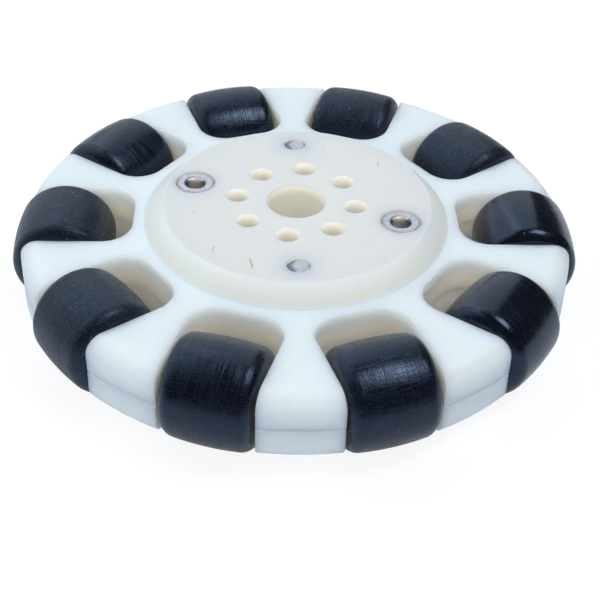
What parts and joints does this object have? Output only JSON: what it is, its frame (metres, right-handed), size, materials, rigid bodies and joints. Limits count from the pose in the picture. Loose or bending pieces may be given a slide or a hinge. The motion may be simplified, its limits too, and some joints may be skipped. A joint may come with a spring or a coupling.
{
  "type": "omni wheel",
  "caption": "Omni wheel: two clamped plastic frame halves carry a ring of crowned black rollers on steel axle pins, with a raised hub, shaft bore and bolt circle.",
  "frame": {"origin": "middle of the hub bore, in the plane where the two frame halves meet", "axes": "+Z along the hub bore, the wheel's own axle; +X outwards along the middle of a spoke"},
  "size_m": [0.1246, 0.127, 0.0248],
  "materials": {
    "frame": "turned white engineering plastic, faintly ivory, satin",
    "roller": "hard black rubber, turned, satin sheen",
    "axle": "ground steel pin",
    "screw": "plain stainless steel"
  },
  "bodies": {
    "frame": {"frame_half_upper": "frame", "frame_half_lower": "frame", "roller_axle_01": "axle", "roller_axle_02": "axle", "roller_axle_03": "axle", "roller_axle_04": "axle", "roller_axle_05": "axle", "roller_axle_06": "axle", "roller_axle_07": "axle", "roller_axle_08": "axle", "roller_axle_09": "axle", "roller_axle_10": "axle", "clamp_screw_1": "screw", "clamp_screw_2": "screw", "clamp_screw_3": "screw", "clamp_screw_4": "screw"},
    "roller_01": {"roller_01": "roller"},
    "roller_02": {"roller_02": "roller"},
    "roller_03": {"roller_03": "roller"},
    "roller_04": {"roller_04": "roller"},
    "roller_05": {"roller_05": "roller"},
    "roller_06": {"roller_06": "roller"},
    "roller_07": {"roller_07": "roller"},
    "roller_08": {"roller_08": "roller"},
    "roller_09": {"roller_09": "roller"},
    "roller_10": {"roller_10": "roller"}
  },
  "joints": [
    {"name": "roller_01_spin", "type": "hinge", "parent": "frame", "child": "roller_01", "pos_m": [0.04974, 0.01616, 0], "axis": [-0.309, 0.9511, 0], "continuous": true},
    {"name": "roller_02_spin", "type": "hinge", "parent": "frame", "child": "roller_02", "pos_m": [0.03074, 0.04231, 0], "axis": [-0.809, 0.5878, 0], "continuous": true},
    {"name": "roller_03_spin", "type": "hinge", "parent": "frame", "child": "roller_03", "pos_m": [0, 0.0523, 0], "axis": [-1, 0, 0], "continuous": true},
    {"name": "roller_04_spin", "type": "hinge", "parent": "frame", "child": "roller_04", "pos_m": [-0.03074, 0.04231, 0], "axis": [-0.809, -0.5878, 0], "continuous": true},
    {"name": "roller_05_spin", "type": "hinge", "parent": "frame", "child": "roller_05", "pos_m": [-0.04974, 0.01616, 0], "axis": [-0.309, -0.9511, 0], "continuous": true},
    {"name": "roller_06_spin", "type": "hinge", "parent": "frame", "child": "roller_06", "pos_m": [-0.04974, -0.01616, 0], "axis": [0.309, -0.9511, 0], "continuous": true},
    {"name": "roller_07_spin", "type": "hinge", "parent": "frame", "child": "roller_07", "pos_m": [-0.03074, -0.04231, 0], "axis": [0.809, -0.5878, 0], "continuous": true},
    {"name": "roller_08_spin", "type": "hinge", "parent": "frame", "child": "roller_08", "pos_m": [0, -0.0523, 0], "axis": [1, 0, 0], "continuous": true},
    {"name": "roller_09_spin", "type": "hinge", "parent": "frame", "child": "roller_09", "pos_m": [0.03074, -0.04231, 0], "axis": [0.809, 0.5878, 0], "continuous": true},
    {"name": "roller_10_spin", "type": "hinge", "parent": "frame", "child": "roller_10", "pos_m": [0.04974, -0.01616, 0], "axis": [0.309, 0.9511, 0], "continuous": true}
  ]
}
